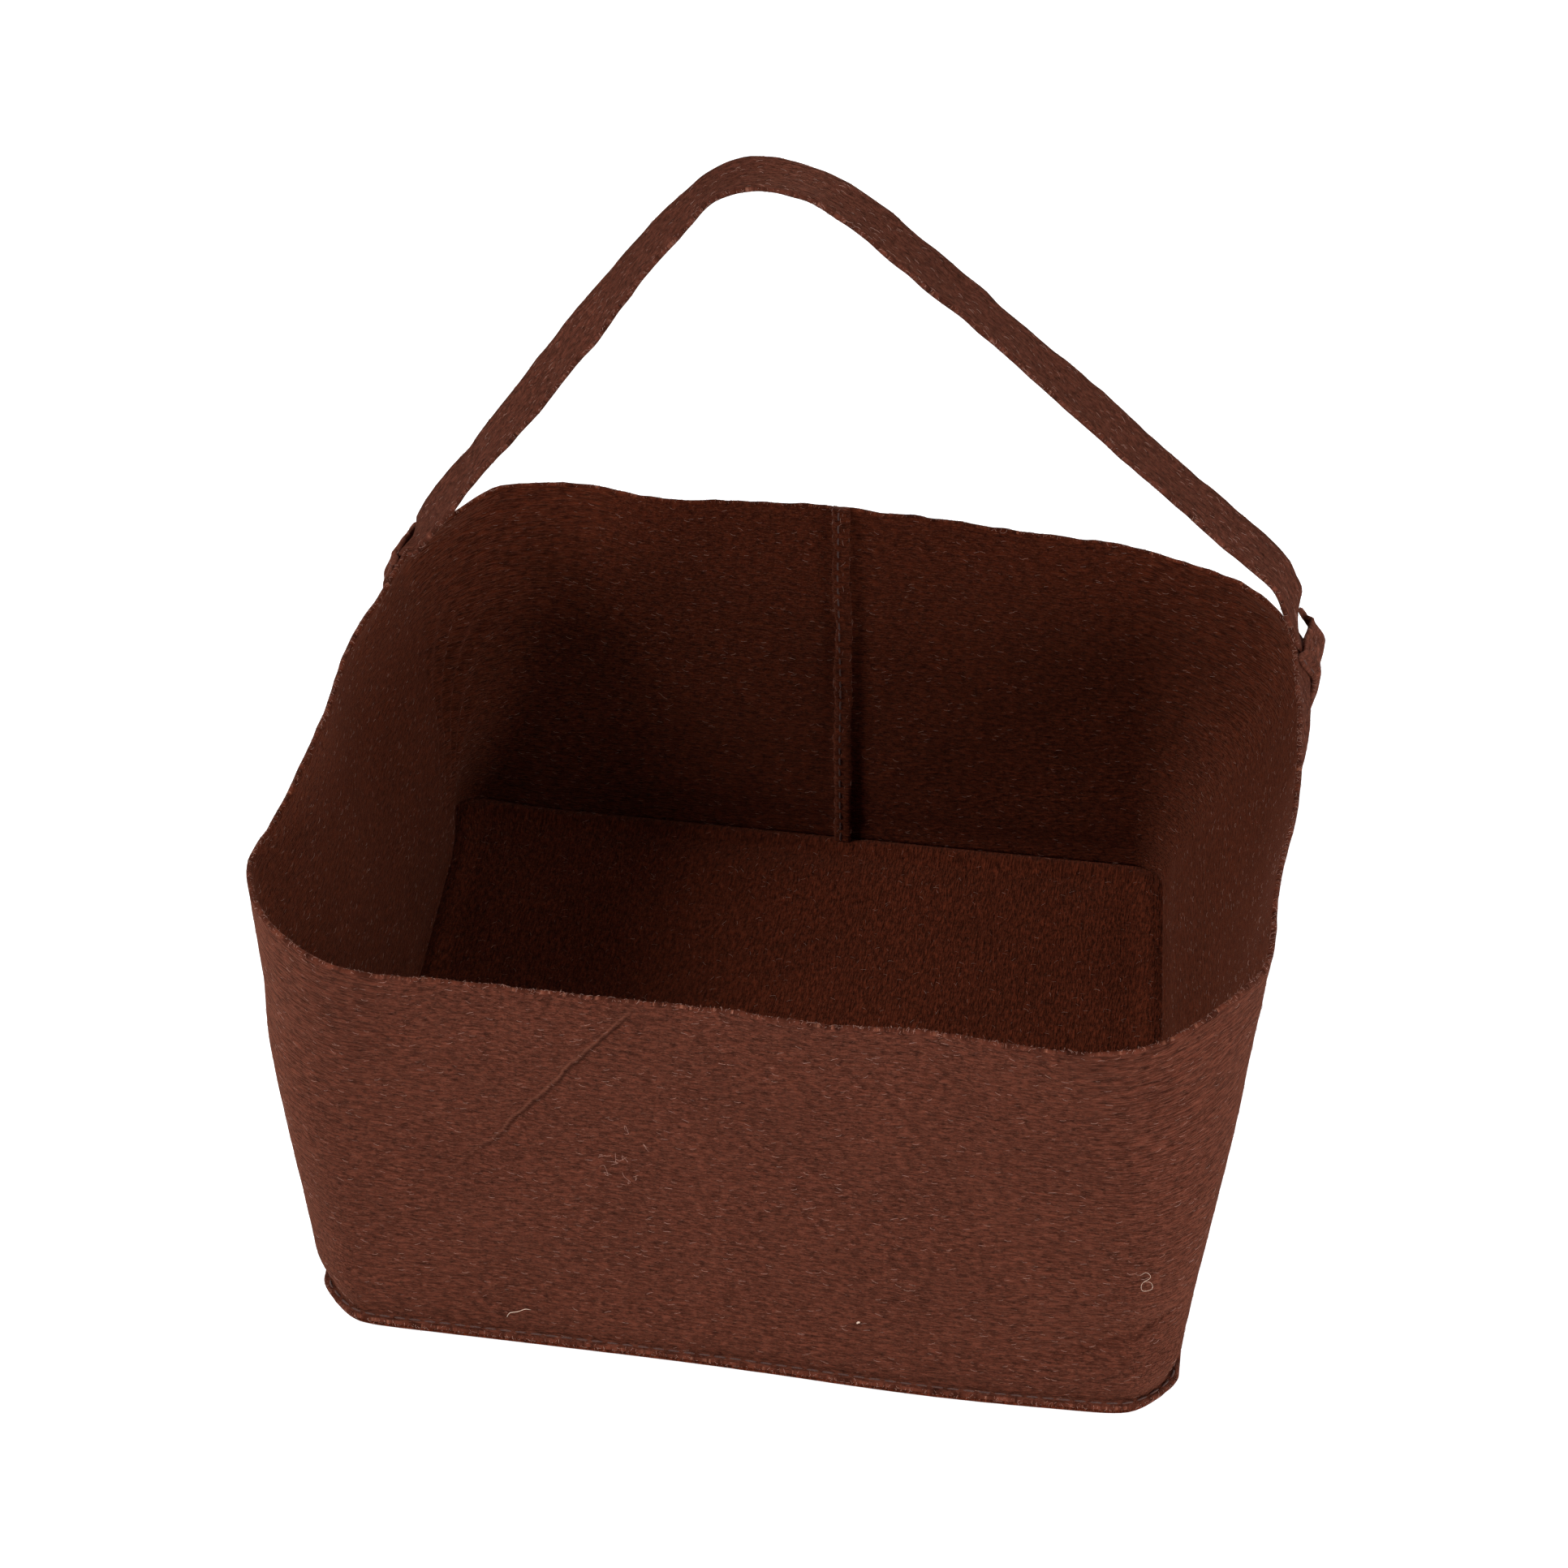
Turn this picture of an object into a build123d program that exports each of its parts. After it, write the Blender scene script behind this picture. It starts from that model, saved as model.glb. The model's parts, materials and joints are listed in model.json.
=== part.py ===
from build123d import *

import os
from math import atan2, sqrt, tan

# Fabric grow bag: one strip of needled felt closed by a folded back seam, sewn to a square felt
# base, with one felt strap from side to side whose ends are sewn on under felt patches.
# Millimetres. Origin at the centre of the footprint, on the ground. +Z up, the front is -Y.

# Felt and thread
felt = 2.5                  # thickness of the needled felt
ply_gap = 0.2               # air between two plies that lie on each other
cut_past = 1.0              # how far the slit between the strip's ends runs past the felt
thread = 0.9                # thickness of a stitch
stitch_length = 5.0
stitch_pitch = 7.5

# Foot, measured outside the wall
foot_width = 402.0
foot_depth = 402.0
foot_corner = 17.0
foot_slip = 30.0            # the soft bag stands askew: the back of its foot is this far to the left
foot_margin = 6.0           # seam margin of wall and base, turned outwards as a welt
foot_seam_inset = 2.4       # from the welt's edge to its row of stitches

# Rim, measured outside the wall
rim_width = 470.0
rim_depth = 408.0
rim_front_corner = 82.0
rim_back_corner = 94.0
rim_height = 220.0

# Back seam
seam_rim_x = -19.5          # where the two ends of the strip meet, at the rim
seam_foot_x = -11.5         # and at the foot
seam_margin = 6.0           # the two ends are turned in and pressed to the right by this much
seam_stitch_inset = 1.6     # from the meeting line to the row of stitches

# Handle
handle_back = 69.0          # the strap's line is this far in front of the rim's back
strap_width = 30.0
strap_grip = 80.0           # how much of each end is sewn to the wall
strap_rise = 7.0            # the sewn ends stand this far above the rim before the strap swings
arch_apex_x = -46.0         # crossing of the two legs, before the strap rounds over
arch_apex_z = 481.0
arch_apex_radius = 64.0
arch_foot_radius = 28.0     # bend of the strap just above the rim
patch_margin = 8.0          # how far the patch reaches past the strap
patch_seam_inset = 3.0      # from the patch's edge to its stitches

handle_y = rim_depth / 2 - handle_back


def mix(low, high, t):
    return low + (high - low) * t


def outline(z, offset):
    """The wall's outer line at one height, as a face, moved outwards by offset."""
    t = z / rim_height
    half_width = mix(foot_width, rim_width, t) / 2
    half_depth = mix(foot_depth, rim_depth, t) / 2
    slip = mix(foot_slip, 0, t)
    lean = -slip / (2 * half_depth)
    side = half_width + offset * sqrt(1 + lean**2)
    corners = []
    for across, along in ((-1, -1), (1, -1), (1, 1), (-1, 1)):
        y = along * (half_depth + offset)
        corners.append((-slip / 2 + lean * y + across * side, y))
    front = mix(foot_corner, rim_front_corner, t) + offset
    back = mix(foot_corner, rim_back_corner, t) + offset
    line = FilletPolyline(*corners, radius=[front, front, back, back], close=True)
    return Pos(0, 0, z) * make_face(line)


def tub(offset):
    """The solid inside one skin of the bag, from the ground to the rim."""
    return loft([outline(0, offset), outline(rim_height, offset)], ruled=True)


def skin(inner, outer):
    """A layer that follows the wall, from one offset to another."""
    return tub(outer) - tub(inner)


def block(low, high):
    """A box between two corners."""
    size = [b - a for a, b in zip(low, high)]
    return Pos(*low) * Box(*size, align=(Align.MIN, Align.MIN, Align.MIN))


def side_cut(side, half_width, low, high):
    """The block round a handle end: one side of the bag, about the strap's line."""
    ends = sorted((0, side * rim_width))
    return block((ends[0], handle_y - half_width, low), (ends[1], handle_y + half_width, high))


def skin_point(surface, side, y, z):
    """Where a skin stands on one side of the bag, and the way it faces there."""
    return surface.find_intersection_points(Axis((0, y, z), (side, 0, 0)))[-1]


# The back seam, in plan


def seam_x(z):
    return mix(seam_foot_x, seam_rim_x, z / rim_height)


def back_face_y(z):
    """The inner face of the back wall."""
    return mix(foot_depth, rim_depth, z / rim_height) / 2 - felt


def plan_loft(points):
    """A solid over a plan given as (right of the seam, inwards from the wall's inner face)."""
    sections = []
    for z in (felt, rim_height):
        placed = [(seam_x(z) + u, back_face_y(z) - v) for u, v in points]
        sections.append(Pos(0, 0, z) * make_face(Polyline(*placed, close=True)))
    return loft(sections, ruled=True)


half_gap = ply_gap / 2
under_ply = (ply_gap, ply_gap + felt)
over_ply = (2 * ply_gap + felt, 2 * ply_gap + 2 * felt)
slit_end = -felt - foot_margin - cut_past
slit = plan_loft([(-half_gap, cut_past), (half_gap, cut_past), (half_gap, slit_end),
                  (-half_gap, slit_end)])
right_end = plan_loft([(half_gap, 0), (half_gap + felt, 0), (half_gap + felt, under_ply[0]),
                       (seam_margin, under_ply[0]), (seam_margin, under_ply[1]),
                       (half_gap, under_ply[1])])
left_end = plan_loft([(-half_gap, 0), (-half_gap, over_ply[0]), (seam_margin, over_ply[0]),
                      (seam_margin, over_ply[1]), (-half_gap - felt / 2, over_ply[1]),
                      (-half_gap - felt, over_ply[0]), (-half_gap - felt, 0)])

# The base panel, and the wall strip on it: the sleeve, with its margin turned out round the foot
# as a welt over the panel's edge, and its two ends turned in
base_panel = extrude(outline(0, foot_margin), felt)
welt = Pos(0, 0, felt) * base_panel
wall_strip = tub(0) - base_panel + welt - tub(-felt) - slit + right_end + left_end


# The handle: one strap, divided where it bends at the rim


strap_layer = (ply_gap, ply_gap + felt)
patch_layer = (2 * ply_gap + felt, 2 * ply_gap + 2 * felt)
hinge_z = rim_height + strap_rise + ply_gap + strap_width / 2
arch_foot_x = skin_point(tub(ply_gap + felt / 2), 1, handle_y, rim_height - ply_gap)[0].X


def leg_corner(side):
    """Where a leg's line meets the upright from the wall, so that its bend starts at the rim."""
    run = arch_foot_x - side * arch_apex_x
    turn = atan2(run, arch_apex_z - rim_height)
    return (side * arch_foot_x, rim_height + arch_foot_radius * tan(turn / 2))


arch_line = FilletPolyline(
    (-arch_foot_x, rim_height - strap_grip), leg_corner(-1), (arch_apex_x, arch_apex_z),
    leg_corner(1), (arch_foot_x, rim_height - strap_grip),
    radius=[arch_foot_radius, arch_apex_radius, arch_foot_radius])
arch_path = Plane((0, handle_y, 0), x_dir=(1, 0, 0), z_dir=(0, -1, 0)) * arch_line
arch_start = Plane((-arch_foot_x, handle_y, rim_height - strap_grip))
handle_strap = sweep(arch_start * Rectangle(felt, strap_width), path=arch_path)

# Each foot of the arch is rounded about the line that the handle swings on
for side in (-1, 1):
    ends = sorted((side * arch_foot_x / 2, side * rim_width))
    below = block((ends[0], handle_y - strap_width, 0), (ends[1], handle_y + strap_width, hinge_z))
    eye = Cylinder(strap_width / 2, rim_width / 2, rotation=(0, 90, 0))
    handle_strap -= below - Pos(side * rim_width / 2, handle_y, hinge_z) * eye


def handle_end(side):
    """The end of the strap that is sewn to the wall, up to where the strap swings."""
    sewn = skin(*strap_layer) & side_cut(side, strap_width / 2, rim_height - strap_grip, rim_height)
    top = sewn.faces().sort_by(Axis.Z)[-1]
    return sewn + extrude(top, strap_rise, dir=(0, 0, 1))


tunnel_half = strap_width / 2 + ply_gap
ridge_half = tunnel_half + felt
patch_half = ridge_half + patch_margin
tunnel_end = rim_height - strap_grip - ply_gap
patch_end = tunnel_end - felt - patch_margin


def patch(side):
    """A felt patch that rises over the strap's end and lies on the wall round it."""
    ridge = side_cut(side, ridge_half, tunnel_end - felt, rim_height)
    over = skin(strap_layer[0], patch_layer[1]) & ridge
    border = skin(*strap_layer) & side_cut(side, patch_half, patch_end, rim_height)
    tunnel = tub(patch_layer[0]) & side_cut(side, tunnel_half, tunnel_end, rim_height)
    return over + border - tunnel


# Thread: each stitch is a short bar lying on the felt


def stitches(place, length):
    """Stitches along a seam. place gives a point of the seam, and the way the felt faces there."""
    count = int(length / stitch_pitch)
    found = []
    for i in range(count):
        middle = (i + 0.5) * length / count
        start, out = place(middle - stitch_length / 2)
        end, _ = place(middle + stitch_length / 2)
        along = end - start
        up = out - along * (out.dot(along) / along.dot(along))
        plane = Plane((start + end) / 2, x_dir=along, z_dir=up)
        lift = (ply_gap + thread) / 2
        found.append(plane * Pos(0, 0, lift) * Box(along.length, thread, thread))
    return found


def foot_seam():
    """The row that joins the wall's margin to the base, all round the welt."""
    line = Pos(0, 0, 2 * felt) * outline(0, foot_margin - foot_seam_inset)
    wire = line.faces()[0].outer_wire()

    def place(s):
        return wire.position_at(s % wire.length, position_mode=PositionMode.LENGTH), Vector(0, 0, 1)

    return stitches(place, wire.length)


def back_seam():
    """The row down the back seam, on the upper ply."""

    def place(s):
        z = rim_height - s
        return Vector(seam_x(z) + seam_stitch_inset, back_face_y(z) - over_ply[1], z), Vector(0, -1, 0)

    return stitches(place, rim_height - 2 * felt)


def patch_seam(side):
    """The row round a patch: down one edge, across the end and up the other edge."""
    surface = tub(strap_layer[1])
    half = patch_half - patch_seam_inset
    low = patch_end + patch_seam_inset
    found = []
    for across in (-1, 1):
        def upright(s, y=handle_y + across * half):
            return skin_point(surface, side, y, rim_height - s)

        found += stitches(upright, rim_height - low)

    def end(s):
        return skin_point(surface, side, handle_y - half + s, low)

    return found + stitches(end, 2 * half)


os.makedirs("parts", exist_ok=True)
for name, shape in (
    ("wall_strip", wall_strip),
    ("base_panel", base_panel),
    ("handle_strap", handle_strap),
    ("handle_end_left", handle_end(-1)),
    ("handle_end_right", handle_end(1)),
    ("patch_left", patch(-1)),
    ("patch_right", patch(1)),
    ("foot_seam_thread", Compound(children=foot_seam())),
    ("back_seam_thread", Compound(children=back_seam())),
    ("patch_thread_left", Compound(children=patch_seam(-1))),
    ("patch_thread_right", Compound(children=patch_seam(1))),
):
    export_step(shape, f"parts/{name}.step")
    print(name, len(shape.solids()), round(shape.volume))
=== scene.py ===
import json
import math

import bmesh
import bpy
import numpy as np
from mathutils import Matrix, Vector

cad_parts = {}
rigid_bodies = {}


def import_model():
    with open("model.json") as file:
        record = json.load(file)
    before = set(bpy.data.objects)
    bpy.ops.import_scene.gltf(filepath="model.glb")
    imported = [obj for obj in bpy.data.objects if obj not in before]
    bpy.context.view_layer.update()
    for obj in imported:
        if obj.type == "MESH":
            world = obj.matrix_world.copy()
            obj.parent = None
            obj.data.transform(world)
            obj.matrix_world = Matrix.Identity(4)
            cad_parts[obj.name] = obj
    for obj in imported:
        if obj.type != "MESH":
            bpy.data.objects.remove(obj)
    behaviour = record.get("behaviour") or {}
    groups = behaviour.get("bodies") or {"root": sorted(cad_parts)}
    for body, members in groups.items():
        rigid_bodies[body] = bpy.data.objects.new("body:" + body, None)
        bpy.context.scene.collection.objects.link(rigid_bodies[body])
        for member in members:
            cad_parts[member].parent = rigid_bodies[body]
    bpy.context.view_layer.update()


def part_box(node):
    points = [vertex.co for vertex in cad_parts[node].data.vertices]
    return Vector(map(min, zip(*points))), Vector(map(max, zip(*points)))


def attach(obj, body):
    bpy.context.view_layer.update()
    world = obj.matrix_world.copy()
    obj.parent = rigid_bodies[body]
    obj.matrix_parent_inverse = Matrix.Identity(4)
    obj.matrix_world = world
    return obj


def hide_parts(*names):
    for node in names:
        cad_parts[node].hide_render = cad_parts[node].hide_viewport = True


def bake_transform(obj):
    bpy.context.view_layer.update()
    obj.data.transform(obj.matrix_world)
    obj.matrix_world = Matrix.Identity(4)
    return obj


# A soft fabric grow bag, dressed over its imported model. Metres, in the model's own frame.

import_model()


# ---------------------------------------------------------------- sizes

def span(node, axis):
    low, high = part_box(node)
    return high[axis] - low[axis]


FELT = span("base_panel", 2)                 # thickness of the needled felt
RIM_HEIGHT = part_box("wall_strip")[1][2]
RIM_HALF_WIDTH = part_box("wall_strip")[1][0]
RIM_HALF_DEPTH = 0.204
RIM_FRONT_CORNER = 0.082
RIM_BACK_CORNER = 0.094
FOOT_HALF = 0.201
FOOT_CORNER = 0.017
FOOT_SLIP = 0.030                            # the back of the foot stands this far to the left
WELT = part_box("base_panel")[1][1] - FOOT_HALF    # seam margin turned out round the foot
SEAM_RIM_X = -0.0195
SEAM_FOOT_X = -0.0115
STRAP_Y = (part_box("handle_strap")[0][1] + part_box("handle_strap")[1][1]) / 2
STRAP_WIDTH = span("handle_strap", 1)
STRAP_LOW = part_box("handle_end_left")[0][2]
PATCH_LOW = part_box("patch_left")[0][2]
PATCH_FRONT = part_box("patch_left")[0][1]
PATCH_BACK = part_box("patch_left")[1][1]
EDGE_SHARE = 0.42                            # of the felt's thickness: how far a rounded cut edge stands out
PLY_GAP = 0.0002
THREAD = 0.0009
STITCH_LENGTH = 0.005
STITCH_PITCH = 0.0075


# ---------------------------------------------------------------- small tools

def smooth(low, high, value):
    """0 below low, 1 above high, and a soft step between."""
    t = np.clip((value - low) / (high - low), 0, 1)
    return t * t * (3 - 2 * t)


def hump(value, middle, width):
    return np.exp(-((value - middle) / width) ** 2)


def lumps(points, size, seed):
    """Smooth unevenness of about -1 to 1 with bumps of the given size."""
    waves = 9
    rng = np.random.default_rng(seed)
    total = 0
    for _ in range(waves):
        way = rng.normal(size=3)
        way /= np.linalg.norm(way)
        pitch = size * rng.uniform(1.3, 3.0)
        total = total + np.sin(points @ way * (2 * math.pi / pitch) + rng.uniform(0, 2 * math.pi))
    return total / math.sqrt(waves)


def measured(points):
    """How far along its line each of these points lies."""
    return np.concatenate([[0], np.cumsum(np.linalg.norm(np.diff(points, axis=0), axis=1))])


def ring(z, offset):
    """The wall's outer line at one height, from the back seam round by the right side."""
    t = min(max(z / RIM_HEIGHT, 0), 1.05)
    half_w = FOOT_HALF + (RIM_HALF_WIDTH - FOOT_HALF) * t
    half_d = FOOT_HALF + (RIM_HALF_DEPTH - FOOT_HALF) * t
    slip = FOOT_SLIP * (1 - t)
    front = FOOT_CORNER + (RIM_FRONT_CORNER - FOOT_CORNER) * t + offset
    back = FOOT_CORNER + (RIM_BACK_CORNER - FOOT_CORNER) * t + offset
    seam = SEAM_FOOT_X + (SEAM_RIM_X - SEAM_FOOT_X) * t + slip
    w, d = half_w + offset, half_d + offset
    line = [np.linspace((seam + 0.0001, d), (w - back, d), 46)]
    for cx, cy, r, start in ((w - back, d - back, back, 90), (w - front, front - d, front, 0),
                             (front - w, front - d, front, -90), (back - w, d - back, back, -180)):
        turn = np.radians(start - np.linspace(0, 90, 31))
        arc = np.stack([cx + r * np.cos(turn), cy + r * np.sin(turn)], 1)
        if start == 90:
            line += [arc, np.linspace(arc[-1], (w, front - d), 82)[1:-1]]
        elif start == 0:
            line += [arc, np.linspace(arc[-1], (front - w, -d), 88)[1:-1]]
        elif start == -90:
            line += [arc, np.linspace(arc[-1], (-w, d - back), 82)[1:-1]]
        else:
            line += [arc, np.linspace(arc[-1], (seam - 0.0001, d), 46)[1:]]
    line = np.concatenate([line[0][:-1]] + line[1:])
    line[:, 0] -= slip / 2 + slip * line[:, 1] / (2 * half_d)
    return line


def side_x(side, y, z, offset):
    """Where the wall's outer line stands on one side of the bag."""
    line = ring(z, offset)
    line = line[(line[:, 0] * side > 0.05)]
    line = line[np.argsort(line[:, 1])]
    return np.interp(y, line[:, 1], line[:, 0])


def crease(x, z, start, end, width, depth):
    """A pressed line on a wall, from start to end in (along, height), fading at its ends."""
    start, end = np.array(start), np.array(end)
    along = end - start
    length = np.linalg.norm(along)
    along /= length
    across = np.array([-along[1], along[0]])
    s = (x - start[0]) * along[0] + (z - start[1]) * along[1]
    d = (x - start[0]) * across[0] + (z - start[1]) * across[1]
    fade = smooth(-0.004, 0.012, s) * (1 - smooth(length - 0.05, length + 0.01, s))
    return -depth * np.exp(-(d / width) ** 2) * fade


def settle(points):
    """How the soft bag has settled: every felt piece is moved by this same rule."""
    p = np.array(points, dtype=float)
    x, y, z = p[:, 0].copy(), p[:, 1].copy(), p[:, 2].copy()
    t = np.clip(z / RIM_HEIGHT, 0, 1.1)
    right, left = smooth(0.12, 0.17, x), smooth(0.12, 0.17, -x)
    front, back = smooth(0.15, 0.185, -y), smooth(0.15, 0.185, y)

    # The rim has turned a little on the foot, and its corners stand at uneven heights
    turn = np.radians(-1.75) * t
    px = x * np.cos(turn) - y * np.sin(turn) - 0.0005 * t
    py = x * np.sin(turn) + y * np.cos(turn) - 0.0017 * t
    pz = z + t * (0.0012 - 0.0063 * x - 0.0013 * y - 0.1098 * x * y)

    # One corner of the rim stands up and leans in, and the rim's back edge dips and rises
    peak = hump(x, 0.222, 0.040) * hump(y, -0.160, 0.042) * smooth(0.12, RIM_HEIGHT, z)
    px -= 0.0045 * peak
    pz += 0.0070 * peak
    dips = 0.0055 * hump(x, 0.045, 0.072) + 0.0060 * hump(x, -0.203, 0.020) - 0.0032 * hump(x, -0.135, 0.045)
    pz += dips * back * t ** 3

    # The strap pulls the rim in, so the wall stands out below it on both sides
    pull = smooth(0.0, 0.09, y) * (1 - smooth(0.165, 0.200, y))
    pull = pull * smooth(0.0, 0.014, RIM_HEIGHT - z) * smooth(0.05, 0.18, z)
    px += pull * (0.0085 * right - 0.0050 * left)
    px -= 0.0045 * right * hump(y, 0.118, 0.032) * smooth(0.190, RIM_HEIGHT, z)

    # Between the strap and the front the sides stand out, and so do both front corners
    px += 0.0044 * right * hump(y, 0.003, 0.055) * smooth(0.02, 0.08, z)
    px -= 0.0060 * left * hump(y, 0.035, 0.042) * smooth(0.06, 0.20, z)
    rise = smooth(0.005, 0.026, z)
    px += 0.0056 * right * smooth(0.07, 0.13, -y) * rise * (1 - 0.3 * smooth(0.19, RIM_HEIGHT, z))
    px -= left * smooth(0.07, 0.14, -y) * rise * (0.0057 - 0.0026 * smooth(0.135, 0.175, z))

    # The foot's front edge has crept forwards, and its front corners are drawn in
    foot = 1 - smooth(0.004, 0.110, z)
    py -= foot * front * (0.0020 + 0.0036 * hump(x, 0.095, 0.080))
    ends = 0.0085 * hump(x, 0.206, 0.017) + 0.0060 * hump(x, -0.206, 0.017)
    py += foot * ends * hump(y, -0.203, 0.020)
    px += 0.0030 * right * hump(y, -0.150, 0.040) * (1 - rise)

    # The walls belly out slightly, most on the left, and more just above the foot
    belly = np.sin(np.pi * np.clip(t, 0, 1))
    px += 0.0028 * belly * (0.5 * right - left) * (1 - np.abs(y) / 0.25)
    low = hump(z, 0.014, 0.010)
    px += 0.0014 * low * (right - left)
    py += 0.0014 * low * (back - front)

    # Creases pressed into the front wall while the bag lay folded
    fold = crease(x, z, (-0.036, 0.2165), (-0.150, 0.080), 0.0034, 0.0013)
    fold += crease(x, z, (0.060, 0.205), (0.120, 0.110), 0.0040, 0.0009)
    fold += crease(x, z, (0.200, 0.060), (0.120, 0.020), 0.0050, 0.0016)
    fold += -0.0026 * hump(x, 0.165, 0.030) * hump(z, 0.048, 0.014)
    fold += 0.0016 * hump(x, 0.120, 0.040) * hump(z, 0.070, 0.020)
    fold += -0.0018 * hump(x, -0.100, 0.060) * hump(z, 0.045, 0.018)
    py += -fold * front

    # The back left corner of the base pokes out, with upright wrinkles above it
    corner = hump(x, -0.232, 0.030) * hump(y, 0.200, 0.030) * (1 - smooth(0.012, 0.075, z))
    px -= 0.008 * corner
    py += 0.005 * corner
    rows = np.sin((y - 0.30 * (z - 0.1)) * 2 * np.pi / 0.0125)
    rows = rows * hump(y - 0.10 * (z - 0.1), 0.165, 0.020) * smooth(0.015, 0.05, z)
    px += 0.0021 * rows * left * (1 - smooth(0.12, 0.17, z))

    # Slow unevenness everywhere, and a wavy cut rim
    wall = smooth(0.004, 0.03, z)
    px += 0.0005 * lumps(p, 0.055, 11) * wall
    py += 0.0006 * lumps(p, 0.050, 12) * wall
    px += 0.00012 * lumps(p, 0.012, 13) * wall
    py += 0.00012 * lumps(p, 0.012, 14) * wall
    flat = p.copy()
    flat[:, 2] = 0
    pz += t ** 3 * (0.0011 * lumps(flat, 0.040, 15) + 0.0004 * lumps(flat, 0.008, 16))
    return np.stack([px, py, pz], 1)


# ---------------------------------------------------------------- meshes

def grid_normals(mid):
    du = np.gradient(mid, axis=1)
    dv = np.gradient(mid, axis=0)
    n = np.cross(dv, du)
    return n / np.maximum(np.linalg.norm(n, axis=2, keepdims=True), 1e-12), du


def felt_sheet(name, mid, uv, material):
    """A sheet of felt with rounded cut edges. mid is its middle surface, rows of points."""
    rows, cols, _ = mid.shape
    normal, along = grid_normals(mid)
    along = along / np.maximum(np.linalg.norm(along, axis=2, keepdims=True), 1e-12)
    half = FELT / 2 * (1 + 0.06 * lumps(mid.reshape(-1, 3), 0.006, 5).reshape(rows, cols, 1))
    outer, inner = mid + normal * half, mid - normal * half

    # The border between the two faces, bulged outwards
    border = [(0, c) for c in range(cols)] + [(r, cols - 1) for r in range(1, rows)]
    border += [(rows - 1, c) for c in range(cols - 2, -1, -1)] + [(r, 0) for r in range(rows - 2, 0, -1)]
    inside = []
    for r, c in border:
        inside.append((min(max(r, 1), rows - 2), min(max(c, 1), cols - 2)))
    br, bc = np.array(border).T
    ir, ic = np.array(inside).T
    out = mid[br, bc] - mid[ir, ic]
    out /= np.linalg.norm(out, axis=1, keepdims=True)
    edge = mid[br, bc] + out * FELT * EDGE_SHARE

    verts = np.concatenate([outer.reshape(-1, 3), inner.reshape(-1, 3), edge])
    index = np.arange(rows * cols).reshape(rows, cols)
    a, b = index[:-1, :-1].ravel(), index[:-1, 1:].ravel()
    c, d = index[1:, 1:].ravel(), index[1:, :-1].ravel()
    count = rows * cols
    faces = np.concatenate([np.stack([a, d, c, b], 1), np.stack([a, b, c, d], 1) + count])
    bi = index[br, bc]
    nxt = np.roll(bi, -1)
    e = 2 * count + np.arange(len(bi))
    en = np.roll(e, -1)
    faces = np.concatenate([faces, np.stack([bi, nxt, en, e], 1),
                            np.stack([e, en, nxt + count, bi + count], 1)])
    flat_uv = uv.reshape(-1, 2)
    uvs = np.concatenate([flat_uv, flat_uv, flat_uv[bi]])
    grain = np.concatenate([along.reshape(-1, 3), along.reshape(-1, 3), along.reshape(-1, 3)[bi]])
    fuzz = np.concatenate([np.zeros(2 * count), np.ones(len(bi))])
    # The inside attribute marks the face into the bag fully and the cut edge in part: painted inside shade
    # falls there, in materials that have it.
    inside = np.concatenate([np.zeros(count), np.ones(count), np.full(len(bi), 0.35)])
    return felt_mesh(name, verts, faces, uvs, grain, fuzz, inside, material)


def felt_mesh(name, verts, faces, uvs, grain, fuzz, inside, material, caps=()):
    mesh = bpy.data.meshes.new(name)
    mesh.from_pydata(verts.tolist(), [], faces.tolist() + [list(map(int, cap)) for cap in caps])
    mesh.uv_layers.new(name="strip")
    loops = np.empty(len(mesh.loops), dtype=np.int32)
    mesh.loops.foreach_get("vertex_index", loops)
    mesh.uv_layers["strip"].data.foreach_set("uv", uvs[loops].astype(np.float32).ravel())
    mesh.attributes.new("grain", "FLOAT_VECTOR", "POINT").data.foreach_set(
        "vector", grain.astype(np.float32).ravel())
    mesh.attributes.new("fuzz", "FLOAT", "POINT").data.foreach_set("value", fuzz.astype(np.float32))
    mesh.attributes.new("inside", "FLOAT", "POINT").data.foreach_set("value", inside.astype(np.float32))
    mesh.polygons.foreach_set("use_smooth", [True] * len(mesh.polygons))
    mesh.materials.append(material)
    mesh.update()
    shell = bmesh.new()
    shell.from_mesh(mesh)
    bmesh.ops.recalc_face_normals(shell, faces=shell.faces)
    shell.to_mesh(mesh)
    shell.free()
    obj = bpy.data.objects.new(name, mesh)
    bpy.context.scene.collection.objects.link(obj)
    return obj


# ---------------------------------------------------------------- materials

class Tree:
    """What building a material and building a Geometry Nodes tree share."""

    def add(self, kind, props=None, **inputs):
        """A node with its settings. Its inputs go by name, or by number as i0, i1 and so on."""
        node = self.tree.nodes.new(kind)
        for key, value in (props or {}).items():
            setattr(node, key, value)
        for key, value in inputs.items():
            socket = node.inputs[int(key[1:])] if key[0] == "i" and key[1:].isdigit() else \
                node.inputs[key.replace("_", " ")]
            if isinstance(value, bpy.types.NodeSocket):
                self.tree.links.new(value, socket)
            else:
                socket.default_value = value
        return node

    def math(self, operation, a, b=0.0, c=0.0):
        return self.add("ShaderNodeMath", {"operation": operation}, i0=a, i1=b, i2=c).outputs[0]


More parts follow.
